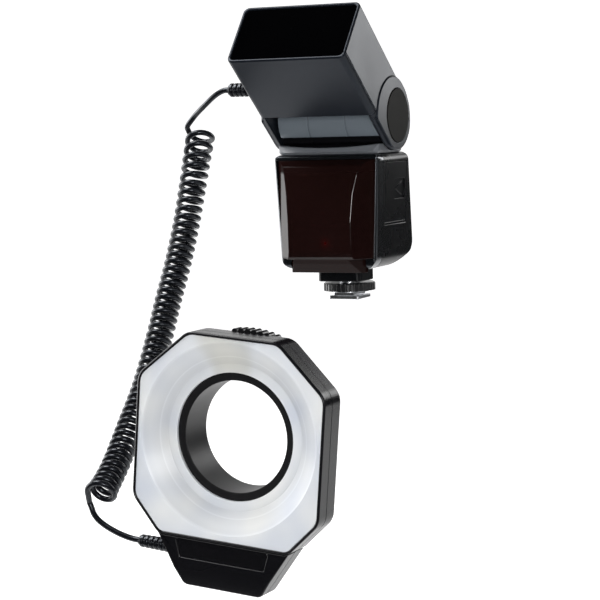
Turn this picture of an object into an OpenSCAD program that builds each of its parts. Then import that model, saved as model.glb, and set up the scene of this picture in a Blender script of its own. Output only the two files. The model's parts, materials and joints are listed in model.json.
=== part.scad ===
// Macro ring flash: a shoe-mounted flash unit with a tilting head, a curly cord and a ring light.
// Millimetres. The origin is the middle of the shoe foot's underside, +Z is up and -Y is the front.

/* [Flash body] */
// Width of the body across its top
body_top_w = 64.4; // [60:0.2:70]
// Width of the body across its underside
body_low_w = 58.4; // [54:0.2:62]
// Height of the body's top face
body_top = 83; // [80:0.5:88]
// Height of the body's underside
body_low = 18.6; // [17:0.2:20]
// Front face of the body
body_front = -28.4; // [-31:0.2:-27]
// Rear edge of the top face
rear_top_y = 15; // [14.5:0.25:18]
// Rearmost line of the body, low on its back
rear_low_y = 24.6; // [22:0.2:28]
// Height of that rearmost line
rear_low_z = 27; // [25:0.5:30]
// Where the underside starts to rise towards the back
keel_y = 2; // [0:0.5:6]
// Joint plane between the front frame and the case
split_y = -20; // [-21.5:0.25:-19.5]
// Wall of the body's mouldings
wall = 2.2; // [1.8:0.1:2.4]

/* [Front window] */
// Height of the window's top edge
window_top = 80; // [78:0.25:80.5]
// Height where the side facets end above the chin
window_low = 25; // [24.5:0.25:29]
// How far the window bulges out of the body's front
window_bulge = 11; // [8:0.25:12]
// Half width of the flat middle of the bulge
window_flat = 18.8; // [16:0.2:22]
// Lowest point of the chin
chin_low = 17; // [15:0.25:17.5]
// Wall of the window
window_wall = 1.8; // [1.4:0.1:2.2]

/* [Battery chamber] */
// Diameter of one cell
cell_d = 14.5; // [14.2:0.1:14.6]
// Middle of the chamber, front to back
chamber_y = -2.2; // [-2.6:0.1:-1.8]
// Floor of the chamber
chamber_z = 46; // [45.5:0.25:47]
// Height of the door above its pin
door_h = 33; // [31:0.25:33.5]
// Radius of the door's hinge barrel
door_barrel_r = 1.5; // [1.4:0.1:1.8]
// Radius of the door's hinge pin
door_pin_r = 0.6; // [0.5:0.05:0.8]
// Thickness of the door
door_t = 2; // [1.6:0.1:2.2]

/* [Shoe foot] */
// Width of the foot's plate
foot_w = 18.6; // [18.4:0.05:18.7]
// Thickness of the foot's plate
foot_t = 2; // [1.8:0.05:2.1]
// Width of the neck between the shoe's rails
foot_neck_w = 12.3; // [11.5:0.1:12.4]
// Radius of the lock wheel
wheel_r = 14.8; // [13:0.2:16]
// Thickness of the lock wheel
wheel_t = 4.6; // [4:0.1:5]
// Radius of the threaded stem
stem_r = 6; // [5:0.25:7]
// Width of the block above the wheel
block_w = 26.6; // [25:0.2:30]
// Depth of the block above the wheel
block_d = 21; // [20:0.5:24]
// Middle of that block, front to back
block_y = -4.6; // [-5:0.2:-2]

/* [Head] */
// Width of the head
head_w = 70.2; // [66:0.2:76]
// Height of the head
head_h = 38.8; // [36.6:0.2:42]
// Reach of the head from its pivot to its front rim
head_reach = 73.7; // [66:0.1:80]
// Angle of the head above level at rest
head_tilt = 39.3; // [0:0.1:90]
// Height of the pivot above the body's top
pivot_rise = 20.5; // [20.5:0.1:23]
// Pivot, front to back
pivot_y = -7.2; // [-8:0.1:-6]
// Gap under the fixed barrel between the cheeks
barrel_gap = 2.5; // [2.2:0.1:4]
// Thickness of each cheek
cheek_t = 3.6; // [3:0.1:4.2]
// Radius of the pivot caps
cap_r = 15; // [12:0.5:16]
// Radius of the pivot shaft
shaft_r = 4; // [3:0.1:5]

/* [Ring light] */
// Half width of the octagon
ring_half_w = 53.7; // [52:0.1:58]
// Height of the octagon above the lens axis
ring_half_h = 53; // [52:0.1:58]
// Depth of the octagon below the lens axis
ring_low_h = 54.6; // [53:0.1:55]
// Width of each upper corner cut
top_cut_w = 27.8; // [24:0.1:30]
// Height of each upper corner cut
top_cut_h = 25.1; // [22:0.1:28]
// Width of each lower corner cut
low_cut_w = 16.3; // [14:0.1:20]
// Height of each lower corner cut
low_cut_h = 18.1; // [16:0.1:20]
// Depth of the ring light's housing
ring_depth = 18.1; // [17.5:0.1:20]
// Depth of the parting line in the housing's side
ring_split = 9; // [8.5:0.1:9.6]
// Front plane of the ring light
ring_y = -156.7; // [-170:0.1:-150]
// Height of the lens axis
ring_z = -57; // [-62:0.25:-52]
// Roll of the ring light about the lens axis
ring_roll = 5.4; // [0:0.1:10]
// Wall of the ring light's mouldings
ring_wall = 1.6; // [1.3:0.1:2]
// Outside radius of the lens adapter
adapter_r = 33.3; // [31.5:0.1:33.5]
// Clear radius through the adapter
adapter_bore_r = 29.1; // [27:0.1:29.5]
// Radius of the adapter's male thread
thread_r = 31; // [30.5:0.1:31.4]
// Depth of the dished cover at the hole
dish_depth = 10; // [9:0.1:10.5]
// Radius of the lock ring
lock_r = 48; // [46:0.5:50]
// Radius over the lock ring's finger grips
grip_r = 55; // [54.5:0.25:58]

/* [Cord] */
// Diameter of the cord
cord_d = 3.2; // [2.8:0.1:3.3]
// Curls in the cord
curls = 50; // [30:1:50]
// Radius of a curl at the middle of the cord
curl_r = 6.2; // [5.6:0.1:6.6]

/* [Hidden] */
$fn = 48;

slack = 0.3;
fit = 0.06;
past = 1;

// Sizes that follow from the ones above
body_h = body_top - body_low;
side_lean = atan((body_top_w - body_low_w) / 2 / body_h);
rear_lean = atan((rear_low_y - rear_top_y) / (body_top - rear_low_z));
chamber = 2 * cell_d + 0.4;
chamber_wall = 1.2;
chamber_deep = 50.5;
chamber_mouth_x = 26;
cheek_in = head_w / 2 - cheek_t;
barrel_half = cheek_in - 1.3;
pivot_z = body_top + pivot_rise;
barrel_r = pivot_rise - barrel_gap;
head_split = -15.6;
head_wall = 2;
underside_rear = 24.5;
plinth_h = 5.4;
plinth_top = body_top + plinth_h;
block_low = 10.6;
clamp_low = 4;
clamp_t = 0.7;
wheel_low = clamp_low + clamp_t;
door_z = chamber_z - 1.3;
door_y0 = chamber_y - chamber / 2 - 0.3;
door_y1 = chamber_y + chamber / 2 + 0.3;
sleeve_r = 36;
bore_r = adapter_r + 0.1;
sleeve_end = ring_depth + 7.3;
plate_t = 1.6;
dish_r = 50;
dish_foot_r = 38.5;
tube_r = 1.9;
tube_ring_r = 43.6;
tube_depth = 11.5;
reflector_r = 50.6;
gland_z = -62.5;

function body_half(z) = (body_low_w + (body_top_w - body_low_w) * (z - body_low) / body_h) / 2;
function rear_at(z) = rear_top_y + (body_top - z) * tan(rear_lean);

// Plane geometry: an inset polygon, and a polygon with each corner rounded
function unit(v) = v / norm(v);
function inset(points, d) = [for (i = [0:len(points) - 1])
    let (n = len(points), b = points[i], u = unit(points[(i + n - 1) % n] - b),
         v = unit(points[(i + 1) % n] - b))
    b + unit(u + v) * d / sin(acos(u * v) / 2)];
function corner_arc(a, b, c, r, steps) =
    let (u = unit(a - b), v = unit(c - b), half = acos(u * v) / 2,
         middle = b + unit(u + v) * r / sin(half), from = b + u * r / tan(half) - middle,
         to = b + v * r / tan(half) - middle, first = atan2(from.y, from.x),
         turn = atan2(from.x * to.y - from.y * to.x, from * to))
    r <= 0.01 ? [b] : [for (i = [0:steps]) middle + r * [cos(first + turn * i / steps),
                                                         sin(first + turn * i / steps)]];
function rounded(points, radii, steps = 6) = [for (i = [0:len(points) - 1])
    let (n = len(points))
    each corner_arc(points[(i + n - 1) % n], points[i], points[(i + 1) % n], radii[i], steps)];
function same(r, n) = [for (i = [1:n]) r];

// Placing: flat outlines along an axis, and the frames that pieces share
module along_x(length) rotate([90, 0, 90]) linear_extrude(length, center = true) children();
module along_y(y0, y1) translate([0, y1, 0]) rotate([90, 0, 0]) linear_extrude(y1 - y0) children();
module rod_x(r, x0, x1) translate([x0, 0, 0]) rotate([0, 90, 0]) cylinder(r = r, h = x1 - x0);
module rod_y(r, y0, y1) translate([0, y0, 0]) rotate([-90, 0, 0]) cylinder(r = r, h = y1 - y0);
module block(low, high) translate(low) cube(high - low);
module both_sides() { children(); mirror([1, 0, 0]) children(); }
module at_door() translate([body_half(door_z) - door_barrel_r, 0, door_z]) rotate([0, side_lean, 0])
    children();
module at_rear(z) translate([0, rear_at(z), z]) rotate([rear_lean, 0, 0]) children();
module at_head() translate([0, pivot_y, pivot_z]) rotate([-head_tilt, 0, 0]) children();
module at_ring() translate([0, ring_y, ring_z]) rotate([0, ring_roll, 0]) children();
module about_lens() rotate([-90, 0, 0]) children();

// Flash body
function body_front_view() = [[-body_top_w / 2, body_top], [body_top_w / 2, body_top],
                              [body_low_w / 2, body_low], [-body_low_w / 2, body_low]];
function body_side_view() = [[body_front, body_top], [rear_top_y, body_top], [rear_low_y, rear_low_z],
                             [keel_y, body_low], [body_front, body_low]];
body_corner_r = [4, 4, 8, 8];
body_edge_r = [2.5, 4, 7, 12, 4];
body_front_r = 2.2;
module body_form(d) difference() {
    intersection() {
        along_y(body_front - past, rear_low_y + past)
            polygon(rounded(inset(body_front_view(), d), body_corner_r - same(d, 4)));
        along_x(body_top_w)
            polygon(rounded(inset(body_side_view(), d), [for (r = body_edge_r) max(r - d, 0.3)]));
    }
    both_sides() front_corner_cut(body_front_r - d / 2, d);
}
// What rounding a front corner takes away, along the leaning side
module front_corner_cut(r, d)
    translate([body_half(body_low) - d, body_front + d, body_low]) rotate([0, side_lean, 0])
        translate([0, 0, -body_low]) linear_extrude(2 * body_h)
            polygon(concat([[-r, -past], for (i = [0:6]) [-r + r * sin(15 * i), r - r * cos(15 * i)]],
                           [[past, r], [past, -past]]));
module behind(y) block([-body_top_w, y, -past], [body_top_w, rear_low_y + past, body_top + past]);

board_z = 26;
board_t = 1.6;
board_half_w = 25;
board_y0 = -18;
board_y1 = 9;
post_r = 3.2;
screw_r = 1.2;
head_r = 2.3;
head_deep = 1.2;
case_posts = [for (x = [-20, 20], y = [-15, -2]) [x, y]];
post_low = body_low + (head_deep + wall) / 2;
panel_z = 58;
panel_half = [24, 19];
panel_t = 1.2;
switch_at = [-9, -9];
button_at = [10, -9];
lamp_at = [10, 6];
switch_travel = 4;
switch_slot = [9.2, 4.2];
button_r = 4;
lamp_r = 2;

lug_t = 2.4;
module door_pin_hole() at_door() rod_y(door_pin_r + fit / 2, door_y0 - lug_t, door_y1 + lug_t);
module rear_hole(at, size, deep) translate([at.x, -deep, at.y])
    block([-size.x / 2, 0, -size.y / 2], [size.x / 2, deep + past, size.y / 2]);
module body_case() color("#26282b") {
    difference() {
        intersection() { body_form(0); behind(split_y); }
        body_form(wall);
        at_door() block([-wall - 2, door_y0 - slack, -door_barrel_r - slack],
                        [2 * wall, door_y1 + slack, door_h + slack]);
        door_pin_hole();
        at_rear(panel_z) {
            rear_hole([0, 0], 2 * panel_half, panel_t);
            rear_hole(switch_at, switch_slot, wall + past);
            translate([button_at.x, 0, button_at.y]) rod_y(button_r + 0.1, -wall - past, past);
            translate([lamp_at.x, 0, lamp_at.y]) rod_y(lamp_r + fit / 2, -wall - past, past);
        }
        for (p = case_posts) translate([p.x, p.y, body_low - past]) {
            cylinder(r = screw_r + fit / 2, h = 9);
            cylinder(r = head_r + fit, h = past + head_deep);
        }
    }
    for (p = case_posts) translate([p.x, p.y, post_low]) difference() {
        cylinder(r = post_r, h = board_z - post_low);
        translate([0, 0, -wall]) cylinder(r = screw_r + fit / 2, h = board_z);
    }
    difference() {
        at_door() for (y = [door_y0 - slack - lug_t, door_y1 + slack])
            block([-2.6, y, -2], [-door_barrel_r + wall - 0.9, y + lug_t, 2]);
        door_pin_hole();
    }
}

// The opening that the window plugs: a wide upper field and a narrow chin
chin_half = window_flat + 4.2;
chin_nose_half = window_flat - 3;
window_edge = 1.4;
window_ledge = 1.2;
window_seat_y = body_front + 3.4;
facet_root_y = body_front + 1.2;
function window_view(d, low) = [[-body_half(window_top) + window_edge + d, window_top - d],
    [body_half(window_top) - window_edge - d, window_top - d],
    [body_half(window_low) - window_edge - d, window_low + d], [chin_half - d, window_low + d],
    [chin_half - d, low], [-chin_half + d, low],
    [-chin_half + d, window_low + d], [-body_half(window_low) + window_edge + d, window_low + d]];
module front_frame() color("#2b2d30") difference() {
    body_form(0);
    behind(split_y);
    along_y(body_front - past, window_seat_y) polygon(window_view(0, chin_low - past));
    along_y(body_front - past, split_y + past)
        polygon(window_view(window_ledge, body_low + wall + window_ledge / 2));
    difference() {
        body_form(wall);
        block([-body_top_w, body_front - past, 0], [body_top_w, window_seat_y + window_ledge, body_top]);
    }
}

// Side view of the bulge: quick to rise under the top edge, fullest low down, then back to the chin
window_back_y = window_seat_y + 6;
function window_side_view() = [[window_back_y, window_top - fit], [body_front, window_top - fit],
    [body_front - 0.47 * window_bulge, window_top - 3], [body_front - 0.65 * window_bulge, window_top - 7],
    [body_front - 0.88 * window_bulge, 61], [body_front - window_bulge, 46],
    [body_front - window_bulge, window_low + 2], [body_front - 0.7 * window_bulge, 22.5],
    [body_front - 1.5, chin_low], [window_back_y, chin_low]];
window_round = [0, 1, 3, 8, 30, 30, 8, 5, 1.5, 0];
function facet_plan() = let (w = body_half(window_low) - window_edge + 1.5)
    [[-w, window_back_y], [-w, facet_root_y], [-window_flat, body_front - window_bulge - 0.4],
     [window_flat, body_front - window_bulge - 0.4], [w, facet_root_y], [w, window_back_y]];
function chin_plan() = [[-chin_half, window_back_y], [-chin_half, facet_root_y],
    [-chin_nose_half, body_front - window_bulge], [chin_nose_half, body_front - window_bulge],
    [chin_half, facet_root_y], [chin_half, window_back_y]];
module window_form(d, back) intersection() {
    along_x(body_top_w)
        polygon(rounded(inset(window_side_view(), d), [for (r = window_round) max(r - d, 0)]));
    along_y(body_front - window_bulge - past, back) polygon(window_view(d + fit, chin_low - past));
    union() {
        translate([0, 0, window_low]) linear_extrude(body_h) polygon(inset(facet_plan(), d));
        linear_extrude(window_low + d + past)
            polygon(rounded(inset(chin_plan(), d), [0, 0, 4 - d, 4 - d, 0, 0]));
    }
}
module front_window() color([0.2, 0.09, 0.08, 0.9]) difference() {
    window_form(0, window_seat_y);
    window_form(window_wall, window_seat_y + past);
}

cradle_top = chamber_z + chamber + chamber_wall;
cradle_posts = [for (x = [-18, 18], y = [-12, 8]) [x, y]];
module battery_cradle() color("#3a3d42") {
    difference() {
        block([chamber_mouth_x - chamber_deep - chamber_wall, chamber_y - chamber / 2 - chamber_wall,
               chamber_z - chamber_wall],
              [chamber_mouth_x, chamber_y + chamber / 2 + chamber_wall, cradle_top]);
        block([chamber_mouth_x - chamber_deep, chamber_y - chamber / 2, chamber_z],
              [chamber_mouth_x + past, chamber_y + chamber / 2, chamber_z + chamber]);
    }
    for (p = cradle_posts) translate([p.x, p.y, cradle_top - chamber_wall / 2])
        cylinder(r = 2.5, h = body_top - wall - cradle_top + chamber_wall / 2);
}
module battery_contacts() color("#c9b27a") for (sy = [-1, 1], sz = [-1, 1])
    translate([chamber_mouth_x - chamber_deep, chamber_y + sy * chamber / 4,
               chamber_z + (2 + sz) * chamber / 4]) {
        block([0, -5, -5], [0.5, 5, 5]);
        rod_x(sy * sz > 0 ? 2.4 : 4, 0.4, sy * sz > 0 ? 1 : 2.6);
    }

chip_x = [-22, -10, 6, 17];
chip_y = 3.5;
chip_size = [5, 4.5, 3.1];
module main_board() color("#2f5d3a") {
    difference() {
        block([-board_half_w, board_y0, board_z], [board_half_w, board_y1, board_z + board_t]);
        for (p = case_posts) translate([p.x, p.y, board_z - past])
            cylinder(r = screw_r + fit, h = board_t + 2 * past);
    }
    for (x = chip_x) translate([x, chip_y, board_z + board_t - 0.1]) cube(chip_size);
}
capacitor_r = 8;
capacitor_half = 17;
capacitor_y = -8;
module main_capacitor() color("#1d2b4a") translate([0, capacitor_y, board_z + board_t + capacitor_r])
    rod_x(capacitor_r, -capacitor_half, capacitor_half);
lamp_x = 3.7;
lamp_z = 34.2;
module assist_lamp() color("#a01818") {
    translate([lamp_x, 0, lamp_z]) {
        rod_y(2.5, -32, board_y0 + 1);
        translate([0, -32, 0]) sphere(r = 2.5);
    }
    block([lamp_x - 3.5, board_y0, board_z + board_t], [lamp_x + 3.5, board_y0 + 1.6, lamp_z + 3.5]);
}

module rear_panel() color("#1b1c1e") at_rear(panel_z) difference() {
    block([-panel_half.x + fit, -panel_t, -panel_half.y + fit],
          [panel_half.x - fit, 0, panel_half.y - fit]);
    rear_hole(switch_at, switch_slot, panel_t + past);
    translate([button_at.x, 0, button_at.y]) rod_y(button_r + 0.1, -panel_t - past, past);
    translate([lamp_at.x, 0, lamp_at.y]) rod_y(lamp_r + fit / 2, -panel_t - past, past);
}
module ready_lamp() color("#d0342a") at_rear(panel_z) translate([lamp_at.x, 0, lamp_at.y]) {
    rod_y(lamp_r, -wall - 1.4, 0.3);
    rod_y(lamp_r + 1, -wall - 1.4, -wall);
}
// The knob rides at the left end of its slot, and its flange runs behind the case
switch_knob = [4.8, 3.8];
module power_switch() color("#101113") at_rear(panel_z)
    translate([switch_at.x - switch_travel / 2, 0, switch_at.y]) {
        block([-switch_knob.x / 2, -wall - 1.2, -switch_knob.y / 2],
              [switch_knob.x / 2, 1.4, switch_knob.y / 2]);
        block([-6, -wall - 1.2, -4], [6, -wall - 0.1, 4]);
    }
button_travel = 1;
module test_button() color("#c8c9cb") at_rear(panel_z) translate([button_at.x, 0, button_at.y]) {
    rod_y(button_r, -wall - 1.2, 1.4);
    rod_y(button_r + 1.4, -wall - 1.2, -wall - 0.1);
}
module case_screws() color("#8d9096") for (p = case_posts) translate([p.x, p.y, body_low]) {
    cylinder(r = head_r, h = head_deep);
    cylinder(r = screw_r, h = board_z - body_low + board_t);
    translate([0, 0, board_z - body_low + board_t]) cylinder(r = screw_r + 0.9, h = 0.9);
}

// Shoe foot with its lock wheel
foot_d = 18;
pin_r = 0.9;
pin_at = [[0, 0], [4.6, 4.2], [-4.6, 4.2], [0, 6.2]];
pin_out = 0.5;
pin_room = 1.6;
stem_top = 15;
module foot_block() color("#1f2226") difference() {
    translate([0, block_y, block_low]) linear_extrude(body_low - block_low)
        polygon(rounded([[-block_w / 2, -block_d / 2], [block_w / 2, -block_d / 2],
                         [block_w / 2, block_d / 2], [-block_w / 2, block_d / 2]], same(3, 4)));
    translate([0, 0, block_low - past]) cylinder(r = stem_r + fit / 2, h = stem_top - block_low + past);
}
module shoe_foot() color("#8b8f95") difference() {
    union() {
        linear_extrude(foot_t) polygon(rounded([[-foot_w / 2, -foot_d / 2], [foot_w / 2, -foot_d / 2],
            [foot_w / 2, foot_d / 2], [-foot_w / 2, foot_d / 2]], same(1.2, 4)));
        block([-foot_neck_w / 2, -foot_d / 2 + 1, foot_t],
              [foot_neck_w / 2, foot_d / 2 - 1, clamp_low - 0.2]);
        translate([0, 0, foot_t]) cylinder(r = stem_r, h = stem_top - foot_t);
    }
    for (p = pin_at) translate([p.x, p.y, -past]) cylinder(r = pin_r + fit, h = pin_room + past);
}
module shoe_contacts() color("#c8a75a") for (p = pin_at) translate([p.x, p.y, -pin_out]) {
    translate([0, 0, 0.3]) cylinder(r = pin_r, h = pin_room - 0.4);
    cylinder(r1 = pin_r - 0.3, r2 = pin_r, h = 0.3);
}
module clamp_plate() color("#6b6f75") translate([0, 0, clamp_low]) difference() {
    cylinder(r = 11, h = clamp_t);
    translate([0, 0, -past]) cylinder(r = stem_r + 0.1, h = clamp_t + 2 * past);
}
wheel_grooves = 36;
module lock_wheel() color("#141517") translate([0, 0, wheel_low]) difference() {
    union() {
        cylinder(r = wheel_r, h = wheel_t - 0.6);
        translate([0, 0, wheel_t - 0.6]) cylinder(r1 = wheel_r, r2 = wheel_r - 0.6, h = 0.6);
    }
    translate([0, 0, -past]) cylinder(r = stem_r + 0.1, h = wheel_t + 2 * past);
    for (i = [0:wheel_grooves - 1]) rotate([0, 0, (i + 0.5) * 360 / wheel_grooves])
        translate([wheel_r + 0.25, 0, -past]) cylinder(r = 0.75, h = wheel_t + 2 * past, $fn = 16);
}

// Battery door, drawn in the frame of its hinge pin: +X is outwards and +Z follows the leaning wall
recess_at = [3.2, 17.8];
recess_half = [8, 5.8];
recess_deep = 0.8;
module battery_door() color("#232528") at_door() difference() {
    union() {
        block([door_barrel_r - door_t, door_y0, 0], [door_barrel_r, door_y1, door_h]);
        rod_y(door_barrel_r, door_y0, door_y1);
    }
    rod_y(door_pin_r + fit, door_y0 - past, door_y1 + past);
    translate([door_barrel_r - recess_deep, recess_at.x, recess_at.y]) difference() {
        rotate([90, 0, 90]) linear_extrude(recess_deep + past) polygon(rounded([-recess_half,
            [recess_half.x, -recess_half.y], recess_half, [-recess_half.x, recess_half.y]], same(2, 4)));
        rotate([90, 0, 90]) linear_extrude(0.5) polygon([[-5, 0], [4, -4], [4, 4]]);
    }
}
module door_pin() color("#9a9da2") at_door() rod_y(door_pin_r, door_y0 - 2.2, door_y1 + 2.2);
module door_contact() color("#c9b27a") at_door() difference() {
    block([door_barrel_r - door_t - 0.5, door_y0 + 3, 4],
          [door_barrel_r - door_t, door_y1 - 3, door_h - 3]);
    block([-wall, chamber_y - 2, 0], [wall, chamber_y + 2, door_h]);
}

// Neck: a shallow tray on the body and a barrel that stands in it
neck_tray_t = 2;
tray_floor = body_top + neck_tray_t;
tray_rim = 4;
lip_lean = 2.7;
plinth_half = cheek_in - 0.5;
plinth_y0 = -26.6;
plinth_y1 = 12;
web_half = [24, 9];
groove_x = 11.5;
barrel_cut_y = 7 - barrel_r;
barrel_cut_z = 7.1 - barrel_r;
function plinth_view() = [[-plinth_half, plinth_y0], [plinth_half, plinth_y0], [plinth_half, plinth_y1],
                          [-plinth_half, plinth_y1]];
plinth_line = 0.7;
lip_low = body_top + plinth_line + 0.3;
function lip_y(z) = plinth_y0 + lip_lean * (z - lip_low) / (plinth_top - lip_low);
lip_dip = 1.8;
lip_r = (plinth_half * plinth_half + lip_dip * lip_dip) / lip_dip / 2;
module neck_plinth() color("#34373c") difference() {
    union() {
        intersection() {
            translate([0, 0, body_top + plinth_line]) linear_extrude(plinth_top - body_top - plinth_line)
                polygon(rounded(plinth_view(), same(5, 4)));
            along_x(3 * plinth_half) polygon([[lip_y(body_top), body_top],
                [lip_y(plinth_top + past), plinth_top + past], [plinth_y1 + past, plinth_top + past],
                [plinth_y1 + past, body_top]]);
        }
        translate([0, 0, body_top]) linear_extrude(plinth_line + 0.1)
            polygon(rounded(inset(plinth_view(), 0.8), same(4.2, 4)));
    }
    translate([0, 0, plinth_top - lip_dip + lip_r]) rod_y(lip_r, plinth_y0 - past, pivot_y, $fn = 240);
    translate([0, 0, tray_floor]) linear_extrude(plinth_top)
        polygon(rounded(inset(plinth_view(), tray_rim), same(2, 4)));
    translate([0, pivot_y, pivot_z]) rod_x(barrel_r + slack, -plinth_half - past, plinth_half + past);
}
module neck_barrel() color("#30343a") translate([0, pivot_y, pivot_z]) difference() {
    union() {
        rod_x(barrel_r, -barrel_half, barrel_half);
        block([-web_half.x, -web_half.y, tray_floor - pivot_z], [web_half.x, web_half.y, -shaft_r - 1]);
    }
    rod_x(shaft_r + fit / 2, -barrel_half - past, barrel_half + past);
    block([-barrel_half - past, -barrel_r - past, -barrel_r - past],
          [barrel_half + past, barrel_cut_y, barrel_cut_z]);
    for (x = [-groove_x, groove_x]) difference() {
        rod_x(barrel_r + past, x - 0.4, x + 0.4);
        rod_x(barrel_r - 0.7, x - 0.5, x + 0.5);
    }
}
module tilt_shaft() color("#a4a7ab") translate([0, pivot_y, pivot_z])
    rod_x(shaft_r, -cheek_in - cheek_t + 0.8, cheek_in + cheek_t - 0.8);
washer_r = 12;
module tilt_washers() color("#b5b7ba") translate([0, pivot_y, pivot_z]) both_sides() difference() {
    rod_x(washer_r, barrel_half, cheek_in - 0.1);
    rod_x(shaft_r + fit / 2, barrel_half - past, cheek_in + past);
}

// Head, drawn level in the frame of its pivot
head_round = 3.5;
boss_at = [-3, -4];
boss_r = 23;
boss_out = 0.6;
cap_out = 0.4;
gland_at = [-32, -4.4];
head_gland_r = 4;
function head_section(d) = let (w = head_w / 2 - d, h = head_h / 2 - d)
    [[-w, -h], [w, -h], [w, h], [-w, h]];
module head_side_form(r) {
    translate([-head_reach, -r]) square([head_reach, 2 * r]);
    circle(r = r, $fn = 96);
}
module head_form() intersection() {
    along_x(head_w + 2) head_side_form(head_h / 2);
    along_y(-head_reach - past, head_h) polygon(rounded(head_section(0), same(head_round, 4)));
}
module head_hollow() {
    along_y(-head_reach - past, -barrel_r - head_wall - 2)
        polygon(rounded(head_section(head_wall + 0.4), same(1.5, 4)));
    along_y(-head_reach - past, -head_reach + 3)
        polygon(rounded(head_section(head_wall - 0.3), same(2.5, 4)));
}
module under_part() block([-head_w, -head_reach - past, -head_h], [head_w, -underside_rear, head_split]);
module head_upper_shell() color("#4a4e54") at_head() difference() {
    union() {
        head_form();
        both_sides() intersection() {
            translate([head_w / 2 + boss_out / 2 - 1, 0, 0]) along_x(boss_out + 2)
                head_side_form(head_h / 2 - 0.6);
            translate([0, boss_at.x, boss_at.y]) rod_x(boss_r, head_w / 2 - 2, head_w / 2 + boss_out);
        }
    }
    head_hollow();
    under_part();
    rod_x(barrel_r + slack + 0.15, -cheek_in, cheek_in, $fn = 96);
    block([-cheek_in, -3, -head_h], [cheek_in, head_h, head_h]);
    block([-cheek_in, -underside_rear, -head_h], [cheek_in, past, -9]);
    rod_x(shaft_r + fit, -head_w, head_w);
    both_sides() rod_x(cap_r + fit, head_w / 2 - 0.6, head_w);
    translate([0, gland_at.x, gland_at.y]) rod_x(head_gland_r - 1 + fit / 2, -head_w, -cheek_in + past);
}
head_post_x = 24;
head_post_y = [-62, -32];
module head_lower_shell() color("#3c4047") at_head() {
    difference() {
        intersection() { head_form(); under_part(); }
        head_hollow();
    }
    for (x = [-head_post_x, head_post_x], y = head_post_y) translate([x, y, -head_h / 2 + head_wall / 2])
        cylinder(r = post_r, h = head_board_z + head_h / 2 - head_wall / 2);
}
panel_recess = 0.8;
module head_front_panel() color("#08080a") at_head()
    along_y(-head_reach + panel_recess, -head_reach + 3)
        polygon(rounded(head_section(head_wall - 0.3 + fit), same(2.5, 4)));
head_board_z = -9;
choke_at = [-27, -36];
choke_size = [10, 8, 6.1];
winding_at = [6, -48];
winding_size = [7, 14];
head_board_half = 29;
head_board_y = [-67, -27];
module head_board() color("#2f5d3a") at_head() {
    block([-head_board_half, head_board_y[0], head_board_z],
          [head_board_half, head_board_y[1], head_board_z + board_t]);
    translate([choke_at.x, choke_at.y, head_board_z + board_t - 0.1]) cube(choke_size);
    translate([winding_at.x, winding_at.y, head_board_z + board_t - 0.1])
        cylinder(r = winding_size.x, h = winding_size.y);
}
module pivot_cap() at_head() rod_x(cap_r, head_w / 2 - 0.6, head_w / 2 + boss_out + cap_out);
module pivot_cap_right() color("#3b3a39") pivot_cap();
module pivot_cap_left() color("#3b3a39") mirror([1, 0, 0]) pivot_cap();

// Ribbed strain relief along +X from its flange, moulded on the cord
module gland(r, length, ribs, tip_r, root) {
    rod_x(r - 1, -root, length);
    for (i = [0:ribs - 1]) let (x = length * i / ribs, s = r + (tip_r - r) * i / (ribs - 1))
        rod_x(s, x, x + length / ribs * 0.6);
}
head_gland_l = 20;
module head_gland() color("#161719") at_head() translate([-head_w / 2, gland_at.x, gland_at.y])
    mirror([1, 0, 0]) gland(head_gland_r, head_gland_l, 7, 3.9, cheek_t);

// Ring light, drawn about the lens axis: +Y is the depth behind its front plane
block_top_half = ring_half_w - low_cut_w + 0.3;
block_low_half = 22.2;
block_bottom = -79.8;
block_chamfer = [2.6, 9];
octagon_round = [10, 10, 10, 10, 7, 7, 10, 10];
function octagon() = [[-ring_half_w + top_cut_w, ring_half_h], [ring_half_w - top_cut_w, ring_half_h],
    [ring_half_w, ring_half_h - top_cut_h], [ring_half_w, -ring_low_h + low_cut_h],
    [ring_half_w - low_cut_w, -ring_low_h], [-ring_half_w + low_cut_w, -ring_low_h],
    [-ring_half_w, -ring_low_h + low_cut_h], [-ring_half_w, ring_half_h - top_cut_h]];
function socket_view() = [[-block_top_half, -ring_low_h + 0.6], [block_top_half, -ring_low_h + 0.6],
                          [block_low_half, block_bottom], [-block_low_half, block_bottom]];
module octagon_shape(d) polygon(rounded(inset(octagon(), d), octagon_round - same(min(d, 4), 8), 8));
module socket_shape(d) polygon(rounded(inset(socket_view(), d), [0, 0, 4 - d / 2, 4 - d / 2]));
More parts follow.
